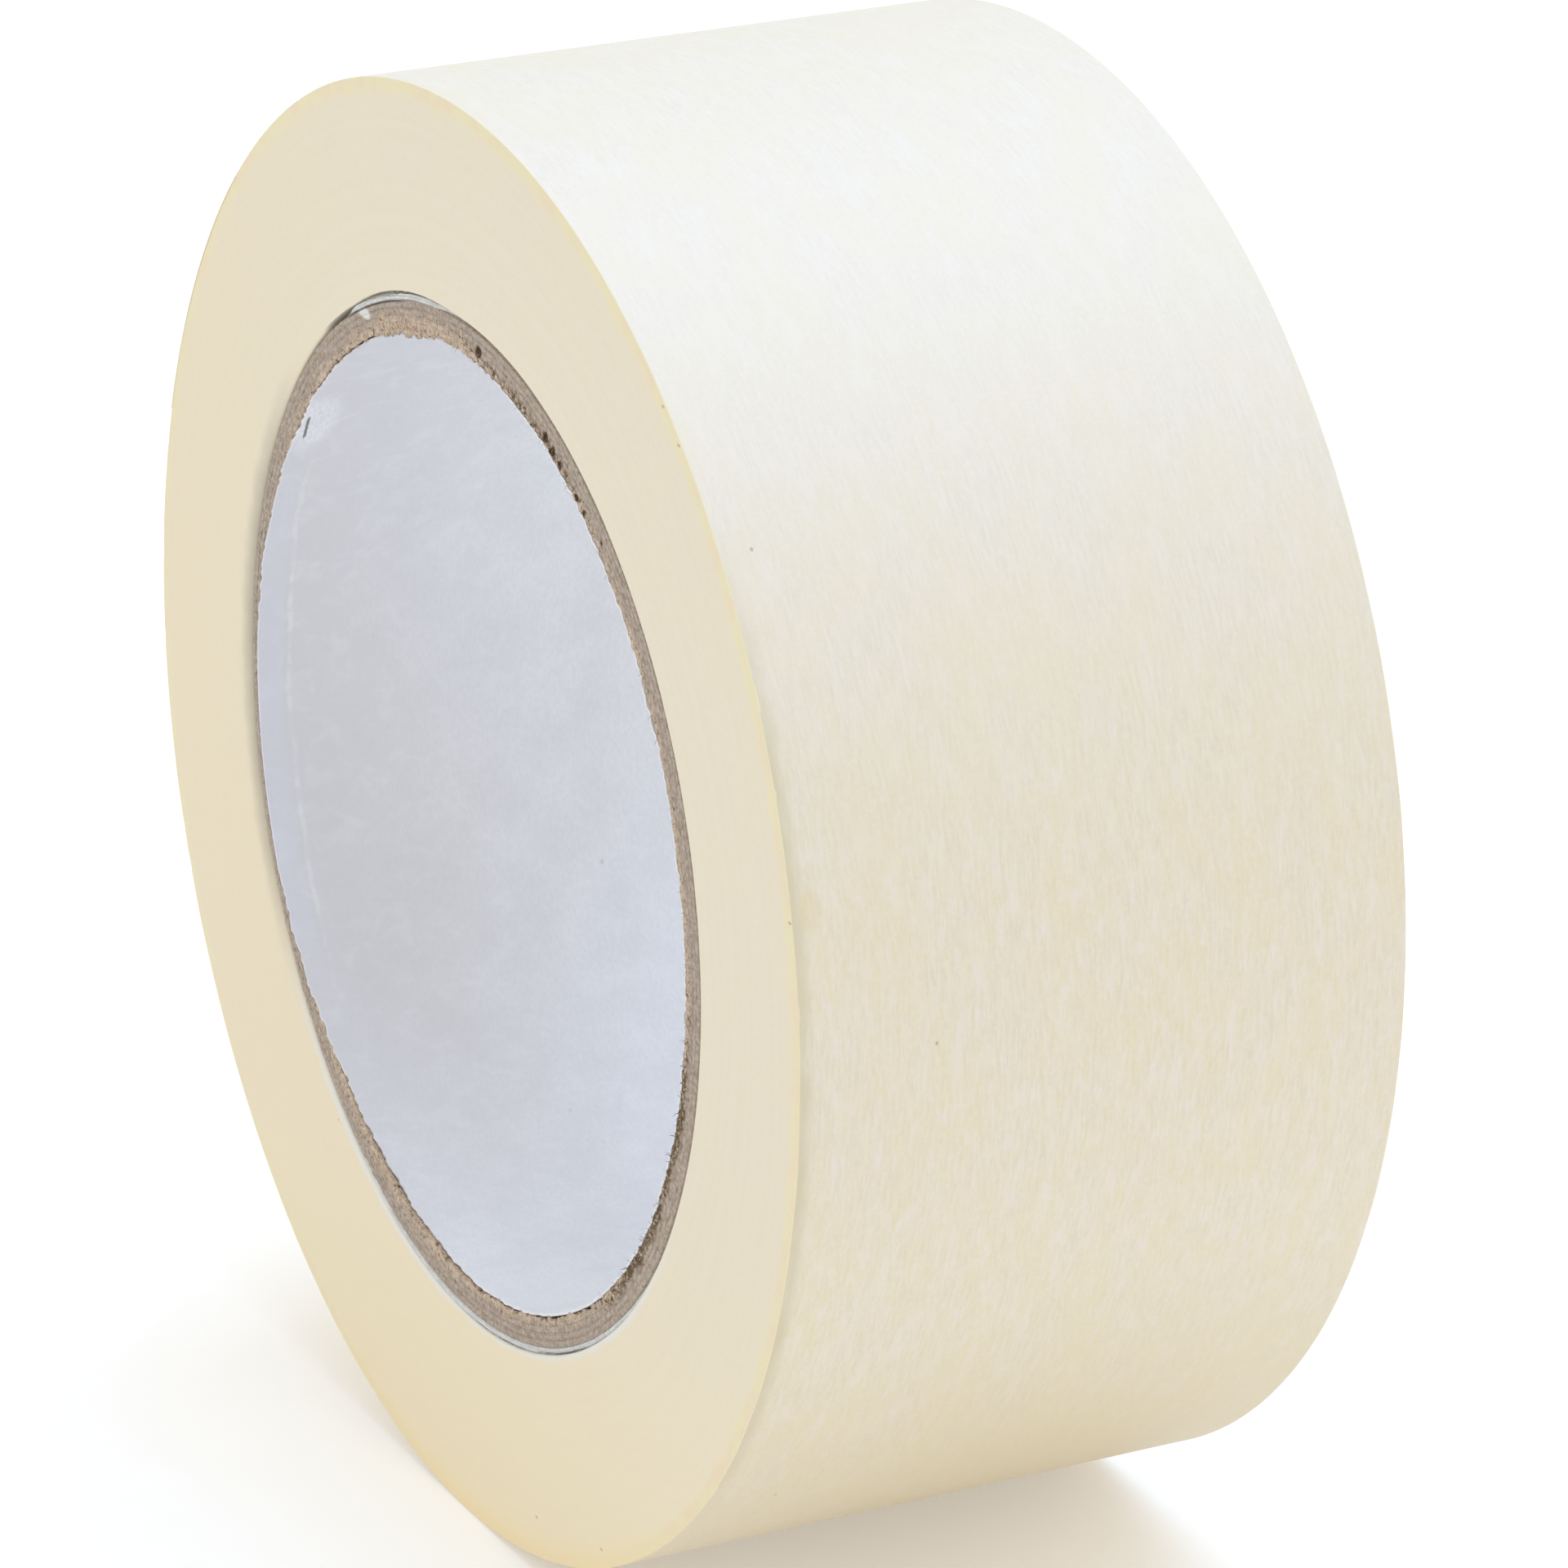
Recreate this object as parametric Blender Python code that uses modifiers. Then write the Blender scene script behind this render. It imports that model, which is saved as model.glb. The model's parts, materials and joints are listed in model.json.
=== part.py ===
"""Masking tape roll: a spiral-wound paper core, the wound tape and its free end.

Units are metres. The roll stands on its rim: its axis lies along Y through the
origin, which is at mid width, and +Z is up. Angles are taken about the axis,
from +X towards +Z.
"""
import math

import bmesh
import bpy

# Core: six paper layers wound as spirals and glued, from the bore outwards.
CORE_BORE_RADIUS = 0.0381
INNER_LINER_THICKNESS = 0.0002
PLY_THICKNESS = 0.00052
PLY_COUNT = 4
OUTER_LINER_THICKNESS = 0.0002
GLUE_LINE = 0.00004  # clearance between two layers
CORE_RECESS = 0.0007  # how far each end of the core lies under the rim of the tape's side

# Butt seam of each layer, where the edges of its spiral strip meet.
PLY_STRIP_WIDTH = 0.120
SEAM_GAP = 0.0003
FIRST_SEAM_ANGLE = math.radians(20)
SEAM_STAGGER = math.radians(85)
SEAM_OVERCUT = 0.0005  # how far the seam's cutter runs past the layer it cuts
SEAM_STEPS = 36

# Tape: one strip, wound on the core.
TAPE_WIDTH = 0.050
TAPE_THICKNESS = 0.00013
TURNS = 129
WIND_CLEARANCE = 0.0001  # between the core and the first turn

# Free end: the last stretch of the strip, which peels off the roll.
FREE_END_LENGTH = 0.025
FREE_END_LIFT = 0.0001  # clearance under the free end
PEEL_LINE_GAP = 0.0003  # clearance between the wound strip and the free end
FREE_END_STEPS = 8

# Every round is cut in the same number of flats, and one flat faces the floor.
SEGMENTS = 96
SEGMENT_ANGLE = 2 * math.pi / SEGMENTS
FLOOR_ANGLE = -math.pi / 2
FIRST_CORNER_ANGLE = FLOOR_ANGLE + SEGMENT_ANGLE / 2
SEGMENTS_TO_PEEL_LINE = 60
PEEL_ANGLE = FIRST_CORNER_ANGLE + SEGMENTS_TO_PEEL_LINE * SEGMENT_ANGLE

CORE_LENGTH = TAPE_WIDTH - 2 * CORE_RECESS

LINER_PAPER = ("liner_paper", (0.80, 0.82, 0.86, 1.0), 0.85)
CHIPBOARD = ("chipboard", (0.43, 0.35, 0.28, 1.0), 0.95)
WRAP_PAPER = ("wrap_paper", (0.83, 0.82, 0.78, 1.0), 0.85)
CREPE_TAPE = ("crepe_tape", (0.78, 0.72, 0.59, 1.0), 0.75)


def clear_scene():
    """Remove whatever the file held."""
    for obj in list(bpy.data.objects):
        bpy.data.objects.remove(obj, do_unlink=True)


def make_collection(name):
    """Make a collection in the scene."""
    collection = bpy.data.collections.new(name)
    bpy.context.scene.collection.children.link(collection)
    return collection


def add_material(obj, finish):
    """Give an object its own matte paper material."""
    name, color, roughness = finish
    material = bpy.data.materials.new(f"{obj.name}_{name}")
    material.use_nodes = True
    shader = material.node_tree.nodes["Principled BSDF"]
    shader.inputs["Base Color"].default_value = color
    shader.inputs["Roughness"].default_value = roughness
    shader.inputs["Metallic"].default_value = 0.0
    obj.data.materials.append(material)


def lay_axis_along_y(obj):
    """Turn an object so that its local Z runs along -Y and its local Y points up."""
    obj.rotation_euler = (math.pi / 2, 0, 0)


def on_circle(radius, angle):
    """Return the local XY point at an angle about the axis."""
    return (radius * math.cos(angle), radius * math.sin(angle))


def turned_ring(name, collection, inner_radius, outer_radius, length):
    """Make a ring: a rectangular profile turned about the roll's axis."""
    half = length / 2
    outline = [(outer_radius, half), (outer_radius, -half), (inner_radius, -half), (inner_radius, half)]
    profile = bmesh.new()
    corners = []
    for radius, height in outline:
        x, y = on_circle(radius, FIRST_CORNER_ANGLE)
        corners.append(profile.verts.new((x, y, height)))
    for start, end in zip(corners, corners[1:] + corners[:1]):
        profile.edges.new((start, end))
    mesh = bpy.data.meshes.new(name)
    profile.to_mesh(mesh)
    profile.free()
    ring = bpy.data.objects.new(name, mesh)
    collection.objects.link(ring)
    lay_axis_along_y(ring)
    screw = ring.modifiers.new("Turn", "SCREW")
    screw.steps = SEGMENTS
    screw.render_steps = SEGMENTS
    screw.use_smooth_shade = True
    screw.use_normal_calculate = True
    return ring


def seam_cutter(name, collection, inner_radius, outer_radius, seam_angle):
    """Make the helical ribbon that parts the two edges of a spiral layer."""
    low_radius = inner_radius - SEAM_OVERCUT
    high_radius = outer_radius + SEAM_OVERCUT
    mean_radius = (inner_radius + outer_radius) / 2
    half_length = CORE_LENGTH / 2 + SEAM_OVERCUT
    # A strip of this width covers the tube when its edge leans this far from the axis.
    lean = math.acos(PLY_STRIP_WIDTH / (2 * math.pi * mean_radius))
    twist = math.tan(lean) / mean_radius
    ribbon = bmesh.new()
    bmesh.ops.create_grid(ribbon, x_segments=1, y_segments=SEAM_STEPS, size=1)
    for vertex in ribbon.verts:
        across, along = vertex.co.x, vertex.co.y
        radius = low_radius + (high_radius - low_radius) * (across + 1) / 2
        height = along * half_length
        x, y = on_circle(radius, seam_angle + twist * height)
        vertex.co = (x, y, height)
    mesh = bpy.data.meshes.new(name)
    ribbon.to_mesh(mesh)
    ribbon.free()
    cutter = bpy.data.objects.new(name, mesh)
    collection.objects.link(cutter)
    lay_axis_along_y(cutter)
    cutter.display_type = "WIRE"
    cutter.hide_render = True
    wall = cutter.modifiers.new("Seam width", "SOLIDIFY")
    wall.thickness = SEAM_GAP
    wall.offset = 0
    return cutter


def spiral_layer(name, parts, cutters, inner_radius, thickness, seam_angle, finish):
    """Make one layer of the core, with its seam, and return its outer radius."""
    outer_radius = inner_radius + thickness
    layer = turned_ring(name, parts, inner_radius, outer_radius, CORE_LENGTH)
    seam = layer.modifiers.new("Seam", "BOOLEAN")
    seam.operation = "DIFFERENCE"
    seam.solver = "EXACT"
    seam.object = seam_cutter(f"{name}_seam", cutters, inner_radius, outer_radius, seam_angle)
    add_material(layer, finish)
    return outer_radius


def build_core(parts, cutters):
    """Make the core's layers from the bore outwards and return its outer radius."""
    layers = [("core_inner_liner", INNER_LINER_THICKNESS, LINER_PAPER)]
    for number in range(1, PLY_COUNT + 1):
        layers.append((f"core_ply_{number}", PLY_THICKNESS, CHIPBOARD))
    layers.append(("core_outer_liner", OUTER_LINER_THICKNESS, WRAP_PAPER))
    inner_radius = CORE_BORE_RADIUS
    for index, (name, thickness, finish) in enumerate(layers):
        seam_angle = FIRST_SEAM_ANGLE + index * SEAM_STAGGER
        outer_radius = spiral_layer(name, parts, cutters, inner_radius, thickness, seam_angle, finish)
        inner_radius = outer_radius + GLUE_LINE
    return outer_radius


def flat_outline(name, collection, outlines, location):
    """Make a solid as wide as the tape from closed outlines, the first one the outermost."""
    curve = bpy.data.curves.new(name, "CURVE")
    curve.dimensions = "2D"
    curve.fill_mode = "BOTH"
    curve.extrude = TAPE_WIDTH / 2
    for points in outlines:
        spline = curve.splines.new("POLY")
        spline.points.add(len(points) - 1)
        for point, (x, y) in zip(spline.points, points):
            point.co = (x, y, 0, 1)
        spline.use_cyclic_u = True
    obj = bpy.data.objects.new(name, curve)
    collection.objects.link(obj)
    obj.location = location
    lay_axis_along_y(obj)
    return obj


def build_wound_tape(parts, core_radius):
    """Make the wound strip up to the peel line and return its outer radius there."""
    first_turn_radius = core_radius + WIND_CLEARANCE
    roll_radius = first_turn_radius + TURNS * TAPE_THICKNESS
    # The outer turn is a spiral: one full turn back from the peel line it lies one
    # thickness lower, which leaves the step that the free end starts from.
    spiral = []
    for corner in range(SEGMENTS + 1):
        radius = roll_radius - TAPE_THICKNESS * corner / SEGMENTS
        spiral.append(on_circle(radius, PEEL_ANGLE - corner * SEGMENT_ANGLE))
    bore = []
    for corner in range(SEGMENTS):
        bore.append(on_circle(first_turn_radius, FIRST_CORNER_ANGLE + corner * SEGMENT_ANGLE))
    tape = flat_outline("wound_tape", parts, [spiral, bore], (0, 0, 0))
    add_material(tape, CREPE_TAPE)
    return roll_radius


def build_tape_end(parts, roll_radius):
    """Make the free end, with its origin on the peel line that it turns about."""
    inner_radius = roll_radius - TAPE_THICKNESS + FREE_END_LIFT
    outer_radius = inner_radius + TAPE_THICKNESS
    mean_radius = (inner_radius + outer_radius) / 2
    start_angle = PEEL_ANGLE + PEEL_LINE_GAP / mean_radius
    arc = FREE_END_LENGTH / mean_radius
    peel_x, peel_y = on_circle(mean_radius, start_angle)
    outline = []
    for step in range(FREE_END_STEPS + 1):
        outline.append(on_circle(outer_radius, start_angle + arc * step / FREE_END_STEPS))
    for step in range(FREE_END_STEPS, -1, -1):
        outline.append(on_circle(inner_radius, start_angle + arc * step / FREE_END_STEPS))
    outline = [(x - peel_x, y - peel_y) for x, y in outline]
    tape_end = flat_outline("tape_end", parts, [outline], (peel_x, 0, peel_y))
    add_material(tape_end, CREPE_TAPE)


def main():
    clear_scene()
    parts = make_collection("masking_tape_roll")
    cutters = make_collection("cutters")
    core_radius = build_core(parts, cutters)
    roll_radius = build_wound_tape(parts, core_radius)
    build_tape_end(parts, roll_radius)


main()
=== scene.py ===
"""Masking tape roll: its looks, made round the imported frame.

Units are metres. Angles are taken about the roll's axis, which is the Y axis, from
+X towards +Z. The near side of the roll is the one towards -Y, and left, right, upper and
lower are meant as seen from there, with +X to the right.
"""

import json
import math

import bpy
import numpy as np
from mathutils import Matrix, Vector, noise


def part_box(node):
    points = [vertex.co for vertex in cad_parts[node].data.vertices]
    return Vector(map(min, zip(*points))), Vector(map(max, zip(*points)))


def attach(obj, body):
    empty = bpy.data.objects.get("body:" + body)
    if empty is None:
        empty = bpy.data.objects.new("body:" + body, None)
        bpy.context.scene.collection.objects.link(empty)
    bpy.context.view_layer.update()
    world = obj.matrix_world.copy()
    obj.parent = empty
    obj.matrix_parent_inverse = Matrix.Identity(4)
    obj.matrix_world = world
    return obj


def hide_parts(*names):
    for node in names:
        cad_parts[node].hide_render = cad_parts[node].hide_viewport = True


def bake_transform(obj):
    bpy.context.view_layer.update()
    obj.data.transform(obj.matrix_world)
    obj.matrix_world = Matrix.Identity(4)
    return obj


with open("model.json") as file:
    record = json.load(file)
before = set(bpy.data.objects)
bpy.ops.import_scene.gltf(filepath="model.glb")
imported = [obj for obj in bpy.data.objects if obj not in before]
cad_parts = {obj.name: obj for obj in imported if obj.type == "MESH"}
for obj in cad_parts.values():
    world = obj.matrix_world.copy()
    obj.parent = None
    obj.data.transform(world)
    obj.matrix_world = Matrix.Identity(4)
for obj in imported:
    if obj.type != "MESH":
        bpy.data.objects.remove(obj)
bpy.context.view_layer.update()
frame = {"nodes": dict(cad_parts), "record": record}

MM = 0.001
FULL_TURN = 2 * math.pi


# ---------------------------------------------------------------- sizes from the frame

def radii(node):
    """Return the smallest and largest distance of a CAD node's corners from the axis."""
    corners = np.array([vertex.co for vertex in frame["nodes"][node].data.vertices])
    distances = np.hypot(corners[:, 0], corners[:, 2])
    return float(distances.min()), float(distances.max())


HALF_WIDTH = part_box("wound_tape")[1].y
CORE_HALF_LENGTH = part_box("core_ply_1")[1].y
CORE_RADIUS = radii("core_outer_liner")[1]
ROLL_RADIUS = radii("wound_tape")[1]
STRIP_INNER, STRIP_OUTER = radii("tape_end")
TAPE_THICKNESS = STRIP_OUTER - STRIP_INNER

PEEL_JOINT = frame["record"]["behaviour"]["joints"][0]
PEEL_POINT = Vector(PEEL_JOINT["pos_m"])
PEEL_ANGLE = math.atan2(PEEL_POINT.z, PEEL_POINT.x)
FREE_EDGE_ANGLE = max(
    math.atan2(vertex.co.z, vertex.co.x) for vertex in frame["nodes"]["tape_end"].data.vertices
)

# The last stretch of the strip is a piece of its own, and starts a little before the peel line.
STRIP_LEAD = math.radians(3)
STRIP_START_ANGLE = PEEL_ANGLE - STRIP_LEAD

BORE_RADIUS = radii("core_inner_liner")[0]
BOARD_RADIUS = radii("core_ply_1")[0]
PLY_COUNT = sum(node.startswith("core_ply_") for node in frame["nodes"])

# The plies and the wrap reach to the middle of the glue lines beside them.
HALF_GLUE_LINE = 0.02 * MM


# ---------------------------------------------------------------- noise for the shapes

def ring_angles(count):
    """Return evenly spaced angles round the ring, without the closing one."""
    return np.arange(count) / count * FULL_TURN


def waves(angles, orders, seed):
    """Return a smooth ripple round the ring, about -1 to 1, from a few random waves."""
    rng = np.random.default_rng(seed)
    total = np.zeros_like(angles)
    for order in orders:
        total += rng.uniform(0.4, 1.0) * np.cos(order * angles + rng.uniform(0, FULL_TURN))
    return total / math.sqrt(len(orders))


def bump_at(angles, centre_degrees, half_width_degrees):
    """Return a smooth hill, 1 at one angle and 0 beyond its half width."""
    away = np.angle(np.exp(1j * (angles - math.radians(centre_degrees))))
    share = np.clip(np.abs(away) / math.radians(half_width_degrees), 0, 1)
    return 0.5 + 0.5 * np.cos(math.pi * share)


def ragged(count, spread, seed):
    """Return random heights round the ring, smoothed over a few columns, within -1 to 1."""
    rng = np.random.default_rng(seed)
    spectrum = np.fft.rfft(rng.normal(size=count))
    orders = np.arange(len(spectrum))
    spectrum *= np.exp(-((orders * spread / count * 3) ** 2))
    smooth = np.fft.irfft(spectrum, count)
    return np.clip(smooth / smooth.std() / 2, -1, 1)


def noise_at(points, grain, seed):
    """Return noise, about -1 to 1, at an array of points, with features of a size."""
    shape = points.shape[:-1]
    shift = Vector((seed * 7.31, seed * 3.17, seed * 5.73))
    flat = points.reshape(-1, 3) / grain
    values = [noise.noise(Vector(point) + shift) for point in flat]
    return np.array(values).reshape(shape)


# ---------------------------------------------------------------- meshes

def turned(radius, angles, depth):
    """Return points from radii, angles and depths, arrays that fit one another."""
    radius, angles, depth = np.broadcast_arrays(radius, angles, depth)
    return np.stack([radius * np.cos(angles), depth, radius * np.sin(angles)], axis=-1)


def add_object(name, mesh, materials):
    """Put a mesh in the scene with its materials and smooth shading."""
    obj = bpy.data.objects.new(name, mesh)
    bpy.context.scene.collection.objects.link(obj)
    for material in materials:
        mesh.materials.append(material)
    mesh.shade_smooth()
    return obj


def grid_mesh(name, points, u, v, row_slots=None, close_rows=False, close_columns=False):
    """Make a mesh from rows and columns of points, with a UV map in metres.

    u and v hold one more column or row than points where that direction is closed.
    """
    rows, columns = points.shape[:2]
    row_count = rows if close_rows else rows - 1
    column_count = columns if close_columns else columns - 1
    row, column = np.meshgrid(np.arange(row_count), np.arange(column_count), indexing="ij")
    corner_rows = np.stack([row, row, row + 1, row + 1], axis=-1)
    corner_columns = np.stack([column, column + 1, column + 1, column], axis=-1)
    corners = (corner_rows % rows) * columns + corner_columns % columns
    mesh = bpy.data.meshes.new(name)
    mesh.vertices.add(rows * columns)
    mesh.vertices.foreach_set("co", points.astype(np.float32).ravel())
    face_count = row_count * column_count
    mesh.loops.add(face_count * 4)
    mesh.loops.foreach_set("vertex_index", corners.astype(np.int32).ravel())
    mesh.polygons.add(face_count)
    mesh.polygons.foreach_set("loop_start", np.arange(face_count, dtype=np.int32) * 4)
    mesh.update(calc_edges=True)
    layer = mesh.uv_layers.new(name="UVMap")
    places = np.stack([u[corner_rows, corner_columns], v[corner_rows, corner_columns]], axis=-1)
    layer.data.foreach_set("uv", places.astype(np.float32).ravel())
    if row_slots is not None:
        slots = np.repeat(np.asarray(row_slots, dtype=np.int32), column_count)
        mesh.polygons.foreach_set("material_index", slots)
    mesh.validate()
    return mesh


def closed_uv(radius, angles, depth, side_rows):
    """Return UVs in metres for a closed ring: arc by depth, or arc by radius on its sides."""
    wide_angles = np.append(angles, angles[0] + FULL_TURN)
    across = np.where(side_rows[:, None], radius, depth)
    across = np.hstack([across, across[:, :1]])
    across = np.vstack([across, across[:1]])
    along = np.broadcast_to(wide_angles * ROLL_RADIUS, across.shape)
    return along, across


# ---------------------------------------------------------------- materials

def srgb(red, green, blue):
    """Return a linear colour from an sRGB one given in 0 to 255."""
    linear = []
    for value in (red, green, blue):
        share = value / 255
        linear.append(share / 12.92 if share <= 0.04045 else ((share + 0.055) / 1.055) ** 2.4)
    return (*linear, 1.0)


class Paint:
    """A material: a Principled shader and the nodes that feed it."""

    def __init__(self, name, roughness, specular=0.3, sheen=0.0):
        self.material = bpy.data.materials.new(name)
        self.material.use_nodes = True
        self.tree = self.material.node_tree
        self.shader = self.tree.nodes["Principled BSDF"]
        self.shader.inputs["Roughness"].default_value = roughness
        self.shader.inputs["Specular IOR Level"].default_value = specular
        self.shader.inputs["Sheen Weight"].default_value = sheen
        self.places = self.tree.nodes.new("ShaderNodeTexCoord")

    def node(self, kind, values, **settings):
        """Add a node; values maps its inputs to numbers, colours or other outputs."""
        made = self.tree.nodes.new(kind)
        for setting, value in settings.items():
            setattr(made, setting, value)
        for key, value in values.items():
            if isinstance(value, bpy.types.NodeSocket):
                self.tree.links.new(value, made.inputs[key])
            else:
                made.inputs[key].default_value = value
        return made

    def noise(self, grain, place="UV", detail=2.0, roughness=0.5, distortion=0.0):
        """Add noise with features of a size in metres along each axis; 0 to 1."""
        scale = tuple(1 / size for size in grain)
        mapping = self.node("ShaderNodeMapping", {"Vector": self.places.outputs[place], "Scale": scale})
        values = {
            "Vector": mapping.outputs[0],
            "Scale": 1.0,
            "Detail": detail,
            "Roughness": roughness,
            "Distortion": distortion,
        }
        return self.node("ShaderNodeTexNoise", values).outputs["Fac"]

    def solid_noise(self, size, **settings):
        """Add noise in space, with features of one size in metres every way; 0 to 1."""
        return self.noise((size, size, size), place="Object", **settings)

    def radial_noise(self, grain, detail=2.0):
        """Add noise that changes only with the distance from the roll's axis; 0 to 1."""
        values = {"W": self.radius(), "Scale": 1 / grain, "Detail": detail}
        return self.node("ShaderNodeTexNoise", values, noise_dimensions="1D").outputs["Fac"]

    def radius(self):
        """Add the distance from the roll's axis."""
        flat = self.node(
            "ShaderNodeVectorMath",
            {0: self.places.outputs["Object"], 1: (1, 0, 1)},
            operation="MULTIPLY",
        )
        length = self.node("ShaderNodeVectorMath", {0: flat.outputs[0]}, operation="LENGTH")
        return length.outputs["Value"]

    def towards(self, degrees):
        """Add how far a point lies from the axis in the direction of an angle."""
        angle = math.radians(degrees)
        values = {0: self.places.outputs["Object"], 1: (math.cos(angle), 0, math.sin(angle))}
        return self.node("ShaderNodeVectorMath", values, operation="DOT_PRODUCT").outputs["Value"]

    def spot(self, degrees, radius, depth, size):
        """Add a soft mark, 1 at a place on the roll and 0 beyond its size in X, Y and Z."""
        angle = math.radians(degrees)
        centre = (radius * math.cos(angle), depth, radius * math.sin(angle))
        away = self.node(
            "ShaderNodeVectorMath",
            {0: self.places.outputs["Object"], 1: centre},
            operation="SUBTRACT",
        )
        scaled = self.node("ShaderNodeVectorMath", {0: away.outputs[0], 1: size}, operation="DIVIDE")
        length = self.node("ShaderNodeVectorMath", {0: scaled.outputs[0]}, operation="LENGTH")
        return self.spread(length.outputs["Value"], 0.5, 1.0, 1.0, 0.0)

    def around(self, degrees, half_span):
        """Add a mask, 1 near an angle about the axis and 0 beyond half a span of degrees."""
        cosine = self.math("DIVIDE", self.towards(degrees), self.radius())
        beyond = math.cos(math.radians(half_span))
        near = math.cos(math.radians(half_span / 2))
        return self.spread(cosine, beyond, near)

    def band(self, value, middle, half_width):
        """Add a mask, 1 where a value is at the middle and 0 beyond the half width."""
        away = self.math("ABSOLUTE", self.math("SUBTRACT", value, middle), 0.0)
        return self.spread(away, half_width / 2, half_width, 1.0, 0.0)

    def depth(self):
        """Add the distance along the roll's axis."""
        return self.node("ShaderNodeSeparateXYZ", {0: self.places.outputs["Object"]}).outputs["Y"]

    def spread(self, value, low, high, to_low=0.0, to_high=1.0):
        """Map a value's range onto another one, smoothly and clamped."""
        values = {
            "Value": value,
            "From Min": low,
            "From Max": high,
            "To Min": to_low,
            "To Max": to_high,
        }
        made = self.node("ShaderNodeMapRange", values, interpolation_type="SMOOTHSTEP")
        return made.outputs["Result"]

    def math(self, operation, first, second):
        """Combine two values."""
        return self.node("ShaderNodeMath", {0: first, 1: second}, operation=operation).outputs[0]

    def times(self, first, second):
        """Multiply two values."""
        return self.math("MULTIPLY", first, second)

    def plus(self, first, second):
        """Add two values."""
        return self.math("ADD", first, second)

    def mix(self, factor, first, second, blend_type="MIX"):
        """Mix two colours."""
        values = {0: factor, 6: first, 7: second}
        return self.node("ShaderNodeMix", values, data_type="RGBA", blend_type=blend_type).outputs[2]

    def marked(self, tone, mask, strength, color):
        """Lay a colour over a tone where a mask is 1, at a strength of 0 to 1."""
        return self.mix(self.times(mask, strength), tone, color)

    def color(self, value):
        """Set the base colour."""
        self.tree.links.new(value, self.shader.inputs["Base Color"])

    def rough(self, value):
        """Set the roughness."""
        self.tree.links.new(value, self.shader.inputs["Roughness"])

    def bump(self, height, distance, strength=1.0):
        """Set the bump, whose height of 1 stands for a distance in metres."""
        values = {"Height": height, "Distance": distance, "Strength": strength}
        made = self.node("ShaderNodeBump", values)
        self.tree.links.new(made.outputs["Normal"], self.shader.inputs["Normal"])


def crepe_paint():
    """Cream crepe paper: soft streaks along the strip, blotches and fine creases."""
    paint = Paint("crepe_paper", roughness=0.5, specular=0.6, sheen=0.1)
    streaks = paint.noise((2.2 * MM, 0.30 * MM, MM), detail=3.0, roughness=0.6)
    mottle = paint.noise((0.5 * MM, 0.35 * MM, MM), detail=3.0, roughness=0.6)
    patches = paint.noise((9 * MM, 5 * MM, MM), detail=3.0)
    blooms = paint.noise((5 * MM, 1.6 * MM, MM), detail=3.0)
    creases = paint.noise((0.22 * MM, 1.6 * MM, MM), detail=2.0, distortion=0.4)
    tone = paint.mix(paint.spread(streaks, 0.3, 0.7), srgb(219, 207, 182), srgb(228, 217, 194))
    tone = paint.mix(paint.spread(patches, 0.35, 0.65, 0.0, 0.6), tone, srgb(226, 212, 178))
    tone = paint.mix(paint.spread(blooms, 0.45, 0.75, 0.0, 0.35), tone, srgb(231, 222, 206))
    tone = paint.mix(paint.spread(mottle, 0.4, 0.75, 0.0, 0.4), tone, srgb(233, 224, 206))
    # Pinkish and yellowish flecks, fainter on top, where the painted highlight washes them out.
    fainter = paint.spread(paint.towards(60), 32 * MM, 52 * MM, 0.5, 0.15)
    pinkish = paint.noise((2.6 * MM, 0.9 * MM, MM), detail=4.0, roughness=0.6)
    pinkish = paint.times(fainter, paint.spread(pinkish, 0.50, 0.68))
    tone = paint.mix(pinkish, tone, srgb(233, 219, 213))
    yellowish = paint.noise((1.8 * MM, 0.4 * MM, MM), detail=3.0)
    yellowish = paint.times(fainter, paint.spread(yellowish, 0.56, 0.72))
    tone = paint.mix(yellowish, tone, srgb(219, 206, 164))
    # Painted highlight: the strip is whiter on top. Painted shade with a warm bounce from below: the
    # strip is darker and yellower towards the bottom, more so away from the near side.
    top_highlight = paint.spread(paint.towards(60), 38 * MM, 57 * MM, 0.0, 0.32)
    tone = paint.mix(top_highlight, tone, srgb(227, 219, 209))
    bottom_tint = paint.spread(paint.towards(-75), 30 * MM, 60 * MM, 0.0, 0.8)
    farther = paint.spread(paint.depth(), -25 * MM, 4 * MM, 0.5, 1.0)
    bottom_tint = paint.times(bottom_tint, farther)
    tone = paint.mix(bottom_tint, tone, srgb(214, 196, 156))
    # The near edge is darker on the right, in a band of uneven width, with one blotch beside it.
    wander = paint.times(paint.noise((3 * MM, 1.5 * MM, MM)), 0.9 * MM)
    edge = paint.math("SUBTRACT", wander, paint.depth())
    selvedge = paint.spread(edge, HALF_WIDTH - 1.2 * MM, HALF_WIDTH + 0.2 * MM, 0.0, 0.9)
    selvedge = paint.times(selvedge, paint.around(-4, 46))
    selvedge = paint.times(selvedge, paint.spread(patches, 0.3, 0.6, 0.6, 1.0))
    tone = paint.mix(selvedge, tone, srgb(206, 194, 162))
    blotch = paint.spot(12.7, ROLL_RADIUS, -23.4 * MM, (2 * MM, 1.1 * MM, 1.9 * MM))
    tone = paint.marked(tone, blotch, 0.4, srgb(218, 200, 152))
    for degrees, depth in ((38.5, -22.3), (1.3, -13.9), (-43.9, -18.6), (141, 9), (222, -4)):
        speck = paint.spot(degrees, ROLL_RADIUS, depth * MM, (0.22 * MM, 0.16 * MM, 0.22 * MM))
        tone = paint.marked(tone, speck, 0.45, srgb(120, 92, 66))
    paint.color(tone)
    paint.rough(paint.spread(streaks, 0.2, 0.8, 0.42, 0.58))
    height = paint.times(streaks, 0.3)
    height = paint.plus(height, paint.times(mottle, 0.6))
    height = paint.plus(height, paint.times(creases, 0.6))
    paint.bump(height, 0.018 * MM, 0.7)
    return paint.material


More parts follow.
